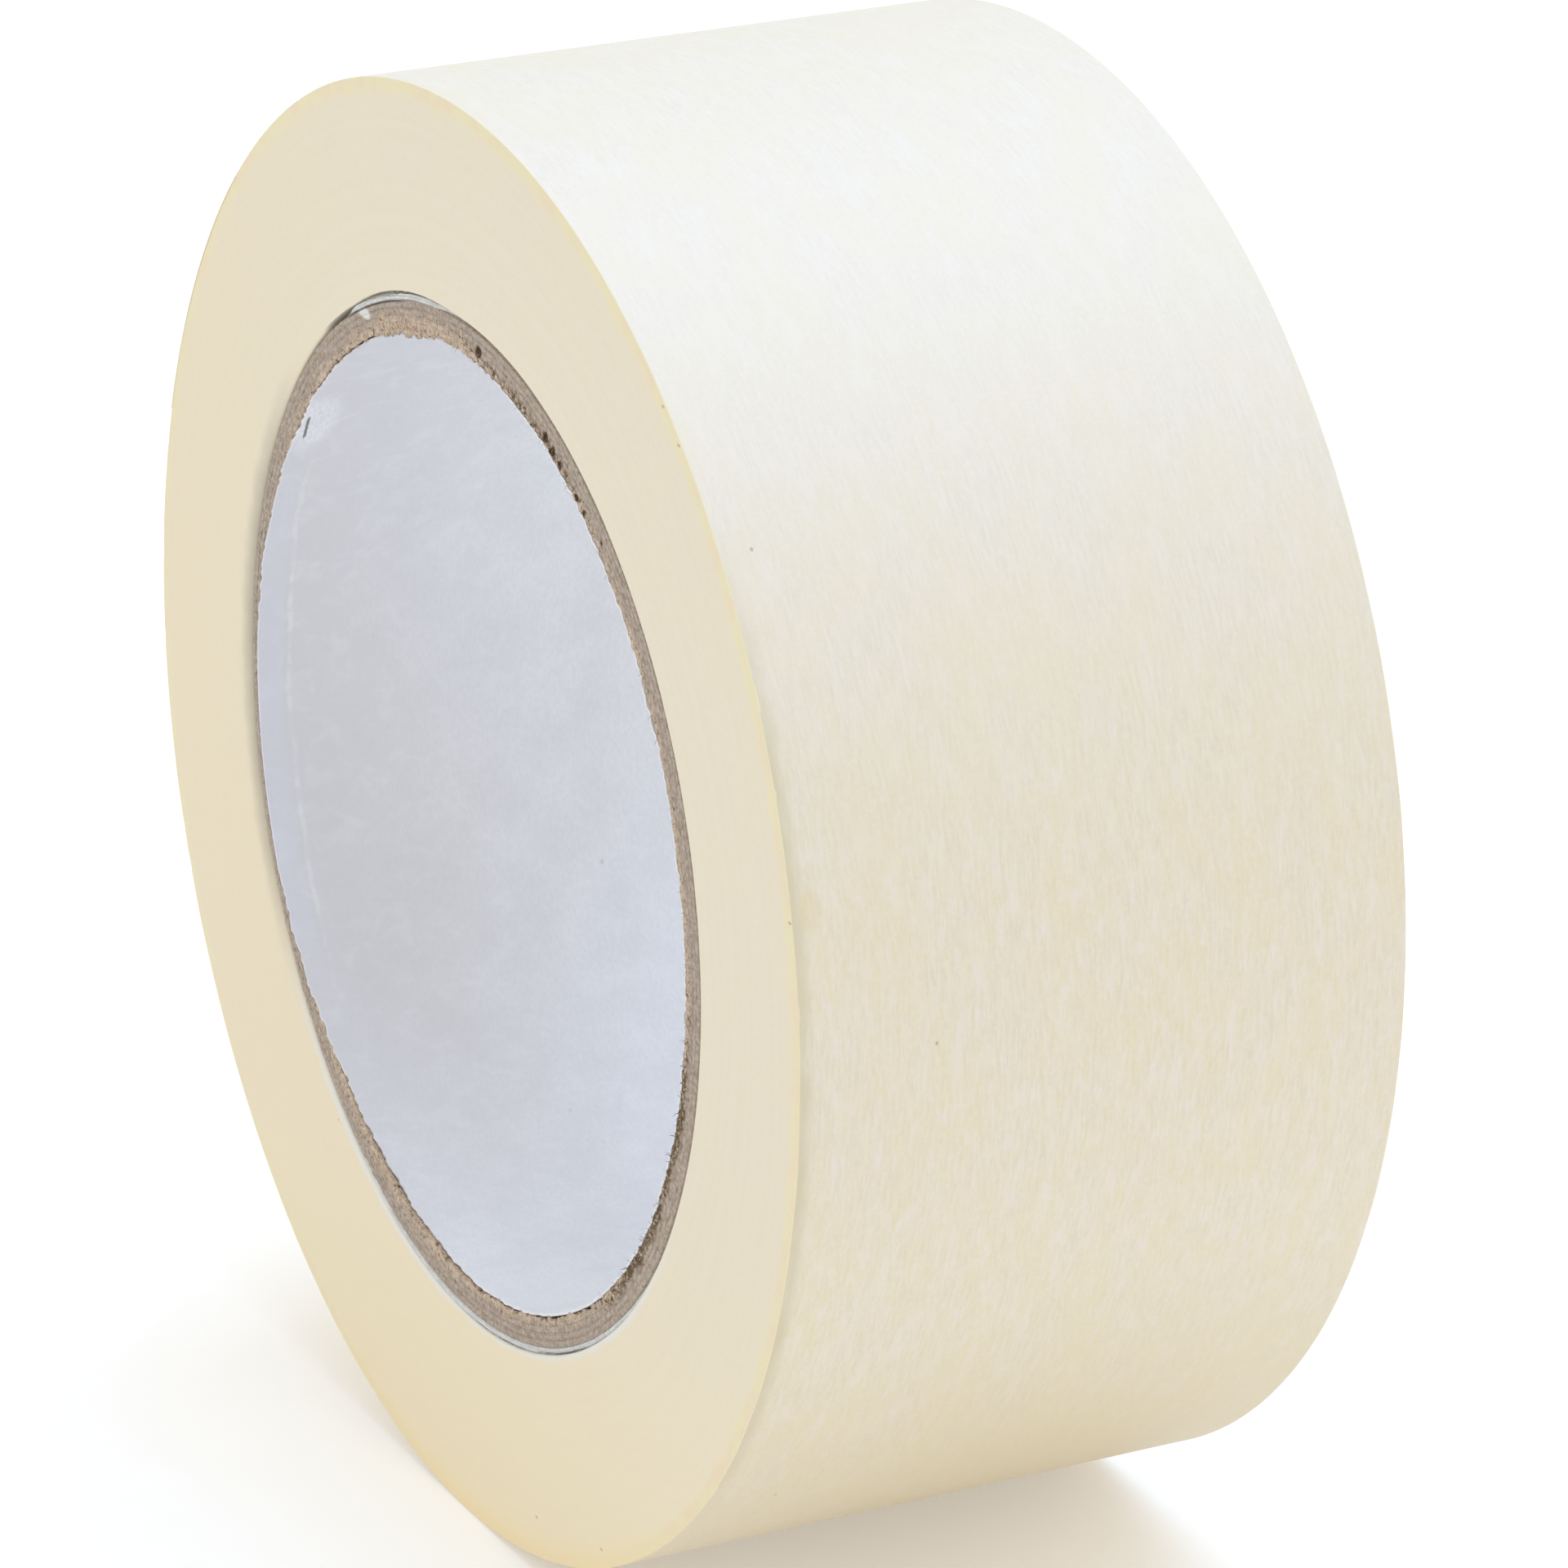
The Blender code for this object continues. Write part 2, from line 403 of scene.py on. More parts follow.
def side_paint():
    """The wound strip's cut edges: cream, faintly ringed, yellower at the rim."""
    paint = Paint("wound_side", roughness=0.62, specular=0.25)
    rings = paint.radial_noise(1.1 * MM, detail=4.0)
    turns = paint.radial_noise(0.14 * MM, detail=1.0)
    patches = paint.solid_noise(7 * MM, detail=3.0)
    grain = paint.solid_noise(0.3 * MM, detail=2.0)
    tone = paint.mix(paint.spread(rings, 0.3, 0.7), srgb(229, 218, 193), srgb(231, 220, 197))
    tone = paint.mix(paint.spread(patches, 0.3, 0.7, 0.0, 0.5), tone, srgb(233, 220, 194))
    tone = paint.mix(paint.spread(grain, 0.4, 0.8, 0.0, 0.25), tone, srgb(237, 229, 211))
    # Yellower towards the lower left, and lighter and yellower towards the bottom.
    lower_left_tint = paint.spread(paint.towards(-150), -30 * MM, 60 * MM, 0.0, 0.7)
    tone = paint.mix(lower_left_tint, tone, srgb(234, 219, 186))
    bottom_tint = paint.spread(paint.towards(-80), 20 * MM, 58 * MM, 0.0, 0.6)
    tone = paint.mix(bottom_tint, tone, srgb(241, 226, 190))
    # The last few turns are yellower, in a band of uneven width with orange stains.
    wander = paint.solid_noise(2.5 * MM, detail=3.0)
    edge = paint.plus(paint.radius(), paint.times(wander, 1.4 * MM))
    rim = paint.spread(edge, ROLL_RADIUS - 0.9 * MM, ROLL_RADIUS, 0.0, 0.9)
    stain = paint.solid_noise(2.2 * MM, detail=2.0)
    stained = paint.mix(paint.spread(stain, 0.45, 0.65), srgb(233, 222, 182), srgb(235, 217, 184))
    tone = paint.mix(rim, tone, stained)
    # Where the roll stands, the rim is yellower still.
    rim_below = paint.spread(paint.radius(), ROLL_RADIUS - 3 * MM, ROLL_RADIUS - 0.5 * MM, 0.0, 0.75)
    rim_below = paint.times(rim_below, paint.spread(paint.towards(-82), 46 * MM, 57 * MM))
    tone = paint.mix(rim_below, tone, srgb(241, 221, 176))
    # Next to the core the side is darkened with painted shade on the left, is pale at the bottom, and
    # has a dark line of painted shade at the upper left where it meets the gap to the core.
    near_core = paint.plus(paint.radius(), paint.times(stain, 0.8 * MM))
    left_core_shade = paint.spread(near_core, CORE_RADIUS + 0.4 * MM, CORE_RADIUS + 2.6 * MM, 0.85, 0.0)
    left_core_shade = paint.times(left_core_shade, paint.spread(paint.towards(177), 30 * MM, 41 * MM))
    tone = paint.mix(left_core_shade, tone, srgb(186, 177, 160))
    pale = paint.spread(near_core, CORE_RADIUS + 0.7 * MM, CORE_RADIUS + 1.5 * MM, 0.85, 0.0)
    pale = paint.times(pale, paint.spread(paint.towards(-88), 14 * MM, 34 * MM))
    tone = paint.mix(pale, tone, srgb(229, 227, 219))
    # Painted shade on the tape's down-facing inner edge at the upper left, in the gap to the core.
    dark_line = paint.band(paint.radius(), CORE_RADIUS + 0.16 * MM, 0.12 * MM)
    dark_line = paint.times(dark_line, paint.around(119, 9))
    tone = paint.marked(tone, dark_line, 0.6, srgb(62, 60, 54))
    specks = (
        (-126.4, 41.9),
        (-76.3, 54.3),
        (-64, 56.1),
        (50.6, 57.3),
        (47.3, 57.3),
        (12, 57.4),
    )
    for degrees, radius in specks:
        speck = paint.spot(degrees, radius * MM, -HALF_WIDTH, (0.30 * MM, MM, 0.16 * MM))
        tone = paint.marked(tone, speck, 0.45, srgb(146, 110, 78))
    paint.color(tone)
    height = paint.plus(paint.times(turns, 0.6), grain)
    paint.bump(height, 0.02 * MM, 0.6)
    return paint.material


def adhesive_paint():
    """The strip's tacky side: smooth and yellower."""
    paint = Paint("adhesive_side", roughness=0.32, specular=0.5)
    blotches = paint.noise((3 * MM, 3 * MM, MM), detail=3.0)
    weave = paint.noise((0.4 * MM, 0.3 * MM, MM), detail=2.0)
    tone = paint.mix(paint.spread(blotches, 0.3, 0.7), srgb(222, 208, 172), srgb(229, 217, 186))
    paint.color(tone)
    paint.rough(paint.spread(blotches, 0.2, 0.8, 0.26, 0.42))
    paint.bump(weave, 0.02 * MM, 0.6)
    return paint.material


def liner_paint():
    """The bore's paper: cool white, softly mottled, greyer and scuffed at its near end."""
    paint = Paint("liner_paper", roughness=0.6, specular=0.3)
    clouds = paint.solid_noise(5 * MM, detail=4.0, roughness=0.55)
    fibres = paint.noise((0.5 * MM, 0.25 * MM, 0.5 * MM), place="Object", detail=3.0)
    tone = paint.mix(paint.spread(clouds, 0.3, 0.7), srgb(226, 226, 228), srgb(232, 232, 234))
    tone = paint.mix(paint.spread(fibres, 0.3, 0.7, 0.0, 0.3), tone, srgb(214, 213, 215))
    greyer = paint.spread(paint.depth(), -26 * MM, 0.0, 0.85, 0.0)
    greyer = paint.times(greyer, paint.spread(paint.towards(165), -14 * MM, 26 * MM))
    tone = paint.mix(greyer, tone, srgb(212, 210, 212))
    wrinkles = paint.noise((1.6 * MM, 2.4 * MM, 1.6 * MM), place="Object", detail=3.0, distortion=0.8)
    tone = paint.mix(paint.spread(wrinkles, 0.45, 0.75, 0.0, 0.22), tone, srgb(238, 238, 241))
    # At the near end, on the left, the paper is bluish up to a pale crease that runs along the edge.
    wobble = paint.times(paint.math("SUBTRACT", clouds, 0.5), 1.2 * MM)
    along = paint.plus(paint.depth(), wobble)
    left = paint.around(183, 40)
    bluish = paint.times(left, paint.spread(along, -23.6 * MM, -22.2 * MM, 0.32, 0.0))
    tone = paint.mix(bluish, tone, srgb(216, 219, 232))
    crease = paint.times(left, paint.band(along, -22.3 * MM, 0.28 * MM))
    crease = paint.times(crease, paint.spread(wrinkles, 0.35, 0.6, 0.05, 0.24))
    tone = paint.mix(crease, tone, srgb(246, 246, 248))
    # A scuffed patch at the upper left, with a slit in the paper whose dark line is painted shade.
    scuff = paint.spot(141, BORE_RADIUS, -23.2 * MM, (4.4 * MM, 2.6 * MM, 4.4 * MM))
    scuff = paint.times(scuff, paint.spread(fibres, 0.35, 0.6, 0.2, 0.65))
    tone = paint.mix(scuff, tone, srgb(238, 238, 240))
    # The slit's painted shade is a row of overlapping marks, a degree and a little depth apart.
    slit_marks = 4
    for mark in range(slit_marks):
        depth = -23.85 * MM + mark * 0.06 * MM
        slit_shade = paint.spot(140.6 + mark, BORE_RADIUS, depth, (0.75 * MM, 0.19 * MM, 0.65 * MM))
        tone = paint.marked(tone, slit_shade, 0.8, srgb(84, 82, 82))
    for degrees, depth in ((-118, -7.2), (-112, -6.0), (-150, 3.0)):
        speck = paint.spot(degrees, BORE_RADIUS, depth * MM, (0.5 * MM, 0.3 * MM, 0.3 * MM))
        tone = paint.marked(tone, speck, 0.25, srgb(150, 148, 146))
    paint.color(tone)
    paint.bump(paint.plus(fibres, clouds), 0.04 * MM, 0.5)
    return paint.material


def board_paint():
    """Raw chipboard: grey-brown fibres, tan where it is torn, with dark pits."""
    paint = Paint("chipboard", roughness=0.9, specular=0.1)
    fibres = paint.solid_noise(0.35 * MM, detail=4.0, roughness=0.7)
    layers = paint.radial_noise(0.17 * MM, detail=2.0)
    flecks = paint.solid_noise(0.9 * MM, detail=3.0, roughness=0.7)
    tone = paint.mix(paint.spread(fibres, 0.3, 0.7), srgb(156, 140, 124), srgb(198, 184, 170))
    tone = paint.mix(paint.spread(layers, 0.35, 0.65, 0.0, 0.25), tone, srgb(146, 128, 110))
    tone = paint.mix(paint.spread(flecks, 0.55, 0.75, 0.0, 0.5), tone, srgb(194, 168, 142))
    # The torn inner edge is tan, and wider at the top and the lower left.
    wander = paint.solid_noise(1.2 * MM, detail=4.0)
    wander = paint.times(paint.math("SUBTRACT", wander, 0.5), 2.2 * MM)
    tan_top = paint.spread(paint.towards(101), 37.2 * MM, 38.8 * MM, 0.0, 0.6 * MM)
    tan_left = paint.spread(paint.towards(-115), 35 * MM, 39 * MM, 0.0, 0.2 * MM)
    edge = paint.math("SUBTRACT", paint.plus(paint.radius(), wander), tan_top)
    edge = paint.math("SUBTRACT", edge, tan_left)
    torn = paint.spread(edge, BOARD_RADIUS - 0.1 * MM, BOARD_RADIUS + 0.9 * MM, 0.8, 0.0)
    frayed = paint.mix(paint.spread(fibres, 0.35, 0.65), srgb(188, 162, 136), srgb(217, 197, 175))
    tone = paint.mix(torn, tone, frayed)
    # Dark pits in clusters, thickest at the upper and the lower right.
    pits = paint.solid_noise(0.45 * MM, detail=4.0, roughness=0.75, distortion=0.5)
    upper = paint.spread(paint.towards(70), 36.2 * MM, 38.4 * MM, 0.0, 0.10)
    lower = paint.spread(paint.towards(-28), 34.4 * MM, 37.4 * MM, 0.0, 0.15)
    pits = paint.plus(paint.plus(pits, upper), lower)
    at_edge = paint.spread(edge, BOARD_RADIUS + 0.3 * MM, BOARD_RADIUS + 1.1 * MM, 1.0, 0.0)
    pitted = paint.times(at_edge, paint.spread(pits, 0.56, 0.64, 0.0, 0.9))
    tone = paint.mix(pitted, tone, srgb(92, 72, 46))
    # The largest pits, each with its angle, and its radius and size in millimetres.
    holes = (
        (84.5, 39.2, 0.7),
        (66.7, 38.9, 0.6),
        (64.7, 38.7, 0.6),
        (62.7, 38.5, 0.5),
        (57.8, 38.5, 0.45),
        (55.5, 38.5, 0.45),
        (51.0, 39.1, 0.35),
    )
    for degrees, radius, size in holes:
        hole = paint.spot(degrees, radius * MM, -CORE_HALF_LENGTH, (size * MM, MM, size * MM))
        hole = paint.times(hole, paint.spread(pits, 0.42, 0.56, 0.2, 0.95))
        tone = paint.mix(hole, tone, srgb(66, 46, 22))
    # A flake of the wrap's white paper at the upper left, beside a dark crack.
    flake = paint.spot(115.2, CORE_RADIUS - 0.65 * MM, -CORE_HALF_LENGTH, (1.5 * MM, MM, 0.6 * MM))
    flake = paint.times(flake, paint.spread(flecks, 0.38, 0.5, 0.3, 1.0))
    tone = paint.marked(tone, flake, 0.85, srgb(236, 234, 230))
    dark_line = paint.band(paint.radius(), CORE_RADIUS - 0.30 * MM, 0.14 * MM)
    dark_line = paint.times(dark_line, paint.around(112, 10))
    tone = paint.marked(tone, dark_line, 0.75, srgb(60, 54, 46))
    paint.color(tone)
    paint.bump(paint.plus(fibres, layers), 0.08 * MM, 0.8)
    return paint.material


def wrap_paint():
    """The thin white wrap between the core and the first turn."""
    paint = Paint("wrap_paper", roughness=0.7, specular=0.2)
    fibres = paint.solid_noise(0.6 * MM, detail=3.0)
    tone = paint.mix(paint.spread(fibres, 0.3, 0.7), srgb(214, 212, 206), srgb(232, 231, 228))
    # Dark lines of painted shade in the folds of the loose paper at the top and the bottom.
    wobble = paint.times(paint.math("SUBTRACT", fibres, 0.5), 0.25 * MM)
    radius = paint.plus(paint.radius(), wobble)
    folds = (
        (111, 7, 0.16),
        (102, 6, 0.33),
        (107, 9, 0.30),
        (-66, 8, 0.14),
        (-84, 9, 0.20),
    )
    for degrees, half_span, height in folds:
        fold_shade = paint.band(radius, CORE_RADIUS + height * MM, 0.09 * MM)
        fold_shade = paint.times(fold_shade, paint.around(degrees, half_span))
        tone = paint.marked(tone, fold_shade, 0.7, srgb(108, 100, 72))
    paint.color(tone)
    paint.bump(fibres, 0.03 * MM, 0.5)
    return paint.material


# ---------------------------------------------------------------- the wound tape

TAPE_COLUMNS = 960
OUTER_ROWS = 28
SIDE_ROWS = 20
CORNER_ROWS = 6
BORE_STEPS = 4


def corner():
    """Return shares of a quarter turn as a cosine and a sine column."""
    turn = np.linspace(0, math.pi / 2, CORNER_ROWS + 1)[:, None]
    return np.cos(turn), np.sin(turn)


# The cut sides of the roll sink from the rim to the core, and end a little above the core's end.
CORE_STEP = 0.1 * MM
DISH = HALF_WIDTH - CORE_HALF_LENGTH - CORE_STEP


def wrap_reach(angles):
    """Return the outer radius of the loose wrap, which bulges at the top and the bottom."""
    top = 0.40 * MM * bump_at(angles, 106, 19)
    bottom = 0.26 * MM * bump_at(angles, -84, 62)
    return CORE_RADIUS + top + bottom


def cut_side(angles, outer, rim_round, seed):
    """Return the radii and depths of one cut side of the roll, from its rim to its bore."""
    inner = wrap_reach(angles) + 0.04 * MM + 0.08 * MM * bump_at(angles, -78, 18)
    inner = inner + 0.26 * MM * bump_at(angles, 185, 55) + 0.07 * MM * bump_at(angles, 122, 16)
    # The edge at the bore is rounded off, most of all on the left.
    worn = bump_at(angles, 183, 75)
    reach = 0.25 * MM + 0.05 * MM * waves(angles, range(3, 30, 2), seed) + 1.2 * MM * worn
    drop = 0.20 * MM + 0.35 * MM * worn
    cosine, sine = corner()
    rim_radius = outer - rim_round * (1 - cosine[:-1])
    rim_fall = rim_round * (1 - sine[:-1])
    share = np.linspace(0, 1, SIDE_ROWS)[:, None]
    flat_radius = (outer - rim_round) * (1 - share) + (inner + reach) * share
    bore_radius = inner + reach * (1 - sine[1:])
    bore_fall = drop * (1 - cosine[1:])
    radius = np.vstack([rim_radius, flat_radius, bore_radius])
    fall = np.vstack([rim_fall, 0 * flat_radius, bore_fall])
    # The side dips and rises a little from turn to turn, and falls off near the rim.
    points = turned(radius, angles, HALF_WIDTH + 0 * radius)
    relief = np.abs(noise_at(points, 6 * MM, seed + 1)) * 0.02 * MM
    slope = np.clip((radius - (ROLL_RADIUS - 1.3 * MM)) / (1.3 * MM), 0, 1) ** 2 * 0.08 * MM
    dish = (ROLL_RADIUS - radius) / (ROLL_RADIUS - CORE_RADIUS) * DISH
    return radius, HALF_WIDTH - 0.02 * MM - fall - relief - slope - dish


def build_tape(side, crepe):
    """Make the wound strip as one turned body whose rim is a spiral with one step."""
    step_gap = 0.02 * MM / ROLL_RADIUS
    turn = np.linspace(0, FULL_TURN - step_gap, TAPE_COLUMNS)
    angles = STRIP_START_ANGLE + turn
    outer = ROLL_RADIUS - TAPE_THICKNESS + TAPE_THICKNESS * turn / FULL_TURN
    outer = outer + 0.02 * MM * waves(angles, range(2, 9), 1)
    near_round = 0.10 * MM + 0.02 * MM * waves(angles, range(5, 60, 3), 2)
    nicks = np.clip(ragged(TAPE_COLUMNS, 2, 3) - 0.8, 0, 1) / 0.2
    near_round = np.maximum(near_round, 0.06 * MM) + 0.10 * MM * nicks
    far_round = 0.10 * MM + 0.02 * MM * waves(angles, range(5, 60, 3), 5)
    near_radius, near_depth = cut_side(angles, outer, near_round, 4)
    far_radius, far_depth = cut_side(angles, outer, far_round, 8)
    # The rows on the rim lie closer to each other towards its two edges.
    step = np.linspace(-1, 1, OUTER_ROWS + 2)[1:-1, None]
    share = 0.5 + 0.5 * np.sign(step) * (1 - (1 - np.abs(step)) ** 2)
    rim_depth = far_depth[0] * (1 - share) - near_depth[0] * share
    sag = noise_at(turned(outer, angles, rim_depth), 9 * MM, 2) * 0.03 * MM
    rim_radius = outer + np.minimum(sag, 0) * np.clip(4 * (1 - np.abs(step)), 0, 1)
    share = np.linspace(0, 1, BORE_STEPS)[1:-1, None]
    wall_depth = far_depth[-1] * share - near_depth[-1] * (1 - share)
    wall_radius = np.broadcast_to(near_radius[-1], wall_depth.shape)
    radius = np.vstack([rim_radius, near_radius, wall_radius, far_radius[::-1]])
    depth = np.vstack([rim_depth, -near_depth, wall_depth, far_depth[::-1]])
    side_count = len(near_radius)
    is_side = np.zeros(len(radius), dtype=bool)
    is_side[OUTER_ROWS + 1:OUTER_ROWS + side_count] = True
    is_side[-side_count:-1] = True
    u, v = closed_uv(radius, angles, depth, is_side)
    slots = np.zeros(len(radius))
    slots[:OUTER_ROWS] = 1
    slots[-1] = 1
    points = turned(radius, angles, depth)
    mesh = grid_mesh("tape_wound", points, u, v, slots, close_rows=True, close_columns=True)
    tape = add_object("tape_wound", mesh, [side, crepe])
    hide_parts("wound_tape")
    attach(tape, "roll")


SHARP_EDGE = math.radians(50)


def thicken(obj, thickness, offset, back_slot, rim_slot):
    """Give an open sheet its thickness, and keep the result as its mesh."""
    solid = obj.modifiers.new("Thickness", "SOLIDIFY")
    solid.thickness = thickness
    solid.offset = offset
    solid.material_offset = back_slot
    solid.material_offset_rim = rim_slot
    graph = bpy.context.evaluated_depsgraph_get()
    mesh = bpy.data.meshes.new_from_object(obj.evaluated_get(graph))
    obj.modifiers.clear()
    obj.data = mesh
    obj.data.shade_smooth()
    obj.data.set_sharp_from_angle(angle=SHARP_EDGE)


def build_strip_end(crepe, adhesive, side):
    """Make the last stretch of the strip, from a little before the peel line to its free edge."""
    columns = 130
    rows = 60
    ramp = 0.4 * MM  # it comes up through the turn below within this length of its start
    inset = 0.12 * MM  # how far its edges lie inside the roll's sides
    proud = 0.006 * MM  # how far it stands above the wound strip
    sunk_angle = STRIP_START_ANGLE - ramp / ROLL_RADIUS
    share = np.linspace(0, 1, columns)
    across = np.linspace(1, -1, rows)[:, None]
    tear = 0.10 * MM * ragged(rows, 2, 11)[:, None] / STRIP_OUTER
    angles = sunk_angle + (FREE_EDGE_ANGLE + tear - sunk_angle) * share
    arc_past_start = (angles - STRIP_START_ANGLE) * ROLL_RADIUS
    rise = np.clip(arc_past_start / ramp, -1, 1) * proud
    points_depth = across * (HALF_WIDTH - inset) * np.ones_like(angles)
    radius = ROLL_RADIUS + rise + 0 * angles
    points = turned(radius, angles, points_depth)
    u = angles * ROLL_RADIUS
    mesh = grid_mesh("tape_strip_end", points, u, points_depth)
    strip = add_object("tape_strip_end", mesh, [crepe, adhesive, side])
    # It is a little thinner than the tape, so that it clears the turn below.
    thicken(strip, TAPE_THICKNESS * 0.85, -1, 1, 2)
    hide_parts("tape_end")
    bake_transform(strip)


# ---------------------------------------------------------------- the core

CORE_COLUMNS = 1440
WRAP_COLUMNS = 720


def build_liner(paper):
    """Make the bore's paper liner, with torn ends."""
    inner, outer = radii("core_inner_liner")
    angles = ring_angles(CORE_COLUMNS)
    rows = 30
    share = np.linspace(0, 1, rows)[:, None]
    near_tear = 0.12 * MM + 0.10 * MM * ragged(CORE_COLUMNS, 1.5, 21)
    near_tear = near_tear + 0.10 * MM * ragged(CORE_COLUMNS, 9, 22)
    far_tear = 0.20 * MM + 0.12 * MM * ragged(CORE_COLUMNS, 1.5, 23)
    far_tear = far_tear + 0.12 * MM * ragged(CORE_COLUMNS, 9, 24)
    # The near end sticks out on the left, and is torn short at the top and the lower left.
    near_tear = near_tear - 0.95 * MM * bump_at(angles, 188, 62)
    near_tear = near_tear + 0.35 * MM * bump_at(angles, 103, 30)
    near_tear = near_tear + 0.25 * MM * bump_at(angles, -112, 45)
    near_tear = np.clip(near_tear, CORE_HALF_LENGTH - HALF_WIDTH + 0.05 * MM, None)
    far_tear = np.clip(far_tear, 0.02 * MM, None)
    depth = (-CORE_HALF_LENGTH + near_tear) * (1 - share) + (CORE_HALF_LENGTH - far_tear) * share
    from_near = depth + CORE_HALF_LENGTH
    crease = np.exp(-((from_near - 2.4 * MM) / (0.5 * MM)) ** 2) * bump_at(angles, 185, 70)
    radius = inner - 0.05 * MM * crease + 0 * depth
    points = turned(radius, angles, depth)
    radius = radius + 0.03 * MM * noise_at(points, 7 * MM, 5)
    points = turned(radius, angles, depth)
    wide = np.hstack([depth, depth[:, :1]])
    along = np.broadcast_to(np.append(angles, FULL_TURN) * inner, wide.shape)
    mesh = grid_mesh("liner_paper_tube", points, along, wide, close_columns=True)
    liner = add_object("liner_paper_tube", mesh, [paper])
    thicken(liner, outer - inner, 1, 0, 0)
    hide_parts("core_inner_liner")
    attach(liner, "roll")


def build_ply(number, board):
    """Make one ply of the core, with fibrous ends and a burr at the innermost edge."""
    node = f"core_ply_{number}"
    name = f"board_ply_{number}"
    seed = 30 + 10 * number
    columns = CORE_COLUMNS
    roughness = 0.07 * MM
    burr = 0.34 * MM if number == 1 else 0.02 * MM
    inner, outer = radii(node)
    inner = inner - HALF_GLUE_LINE
    outer = outer + HALF_GLUE_LINE
    angles = ring_angles(columns)
    end_rows = 7
    share = np.linspace(0, 1, end_rows)[:, None]
    edge_drop = 0.02 * MM * (2 * share - 1) ** 4
    near_radius = outer * (1 - share) + inner * share + 0 * angles
    near_depth = -CORE_HALF_LENGTH + edge_drop + 0 * angles
    far_radius = near_radius[::-1]
    far_depth = -near_depth[::-1]
    # One more row, hidden by the layer inside this one, keeps the burr to the ply's very end.
    behind_radius = inner + 0 * angles[None, :]
    behind_depth = 0.5 * MM - CORE_HALF_LENGTH + 0 * angles[None, :]
    radius = np.vstack([near_radius, behind_radius, far_radius])
    depth = np.vstack([near_depth, behind_depth, far_depth])
    points = turned(radius, angles, depth)
    rough = noise_at(points, 0.5 * MM, seed) + 0.6 * noise_at(points, 0.22 * MM, seed + 1)
    depth = depth - np.sign(depth) * roughness * (0.5 + rough)
    torn = 0.7 * ragged(columns, 0.8, seed + 2) + 0.5 * ragged(columns, 5, seed + 3) + 0.3
    torn = torn + 0.9 * bump_at(angles, 103, 12) + 1.2 * bump_at(angles, -118, 6)
    torn = torn + 0.8 * bump_at(angles, -3, 4)
    tattered = bump_at(angles, 103, 24) + bump_at(angles, -112, 50)
    torn = torn + 1.1 * ragged(columns, 11, seed + 4) * np.clip(tattered, 0.15, 1)
    # Where the liner sticks out, the burr stays behind it.
    torn = np.clip(torn, -0.6, 2.1) * (1 - 0.9 * bump_at(angles, 188, 80))
    # The near end's innermost row is the burr, and the row before it follows a little.
    reach = np.zeros(len(radius))
    reach[end_rows - 1] = 1.0
    reach[end_rows - 2] = 0.35
    radius = radius - burr * reach[:, None] * torn
    depth = depth + burr * 0.2 * reach[:, None] * np.abs(torn)
    points = turned(radius, angles, depth)
    is_side = np.ones(len(radius), dtype=bool)
    u, v = closed_uv(radius, angles, depth, is_side)
    mesh = grid_mesh(name, points, u, v, close_rows=True, close_columns=True)
    ply = add_object(name, mesh, [board])
    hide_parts(node)
    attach(ply, "roll")


def build_wrap(wrap):
    """Make the thin wrap round the core: sunk at the sides, loose at the top and bottom."""
    inner = radii("core_outer_liner")[0] - HALF_GLUE_LINE
    angles = ring_angles(WRAP_COLUMNS)
    outer = wrap_reach(angles)
    loose = (outer - CORE_RADIUS) / (0.16 * MM)
    sunk = 0.35 * MM + 0.55 * MM * bump_at(angles, 160, 75)
    sunk = sunk * (1 - np.clip(loose, 0, 1)) + 0.04 * MM * ragged(WRAP_COLUMNS, 3, 91)
    rows = 9
    share = np.linspace(0, 1, rows)[:, None]
    near_radius = outer * (1 - share) + inner * share
    folds = 0.10 * MM * np.sin(share * math.pi * 5) * np.clip(loose, 0, 1)
    near_depth = -CORE_HALF_LENGTH + sunk + folds
    radius = np.vstack([near_radius, near_radius[::-1]])
    depth = np.vstack([near_depth, -near_depth[::-1]])
    u, v = closed_uv(radius, angles, depth, np.ones(len(radius), dtype=bool))
    points = turned(radius, angles, depth)
    mesh = grid_mesh("wrap_paper_ring", points, u, v, close_rows=True, close_columns=True)
    ring = add_object("wrap_paper_ring", mesh, [wrap])
    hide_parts("core_outer_liner")
    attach(ring, "roll")


# Where the board's inner edge is torn: angle, spread in degrees and share of the loose fibres.
TORN_PLACES = (
    (-30, 14, 0.26),
    (68, 12, 0.14),
    (103, 9, 0.14),
    (157, 8, 0.08),
    (-118, 9, 0.10),
    (0, 110, 0.28),
)
FIBRE_COUNT = 520


def add_fibre(rng, root, outwards, points, faces):
    """Add one tapering, curled fibre, three-sided, to the lists of points and faces."""
    inwards = -Vector((root.x, 0, root.z)).normalized()
    onwards = Vector((-root.z, 0, root.x)).normalized()
    lean = inwards * rng.uniform(0.1, 1.0) + onwards * rng.normal(0, 0.6)
    lean = lean + outwards * rng.uniform(0.05, 0.6)
    lean.normalize()
    curl = Vector(rng.normal(0, 0.35, 3))
    length = rng.uniform(0.25, 0.6) * MM
    width = rng.uniform(0.025, 0.05) * MM
    first = len(points)
    steps = 4
    sides = (inwards, onwards, -inwards - onwards)
    for step in range(steps):
        share = step / (steps - 1)
        middle = root + (lean + curl * share * share) * length * share
        for side in sides:
            points.append(middle + side * width * (1 - 0.8 * share))
    for step in range(steps - 1):
        for side in range(3):
            low = first + 3 * step
            after = (side + 1) % 3
            faces.append((low + side, low + after, low + 3 + after, low + 3 + side))


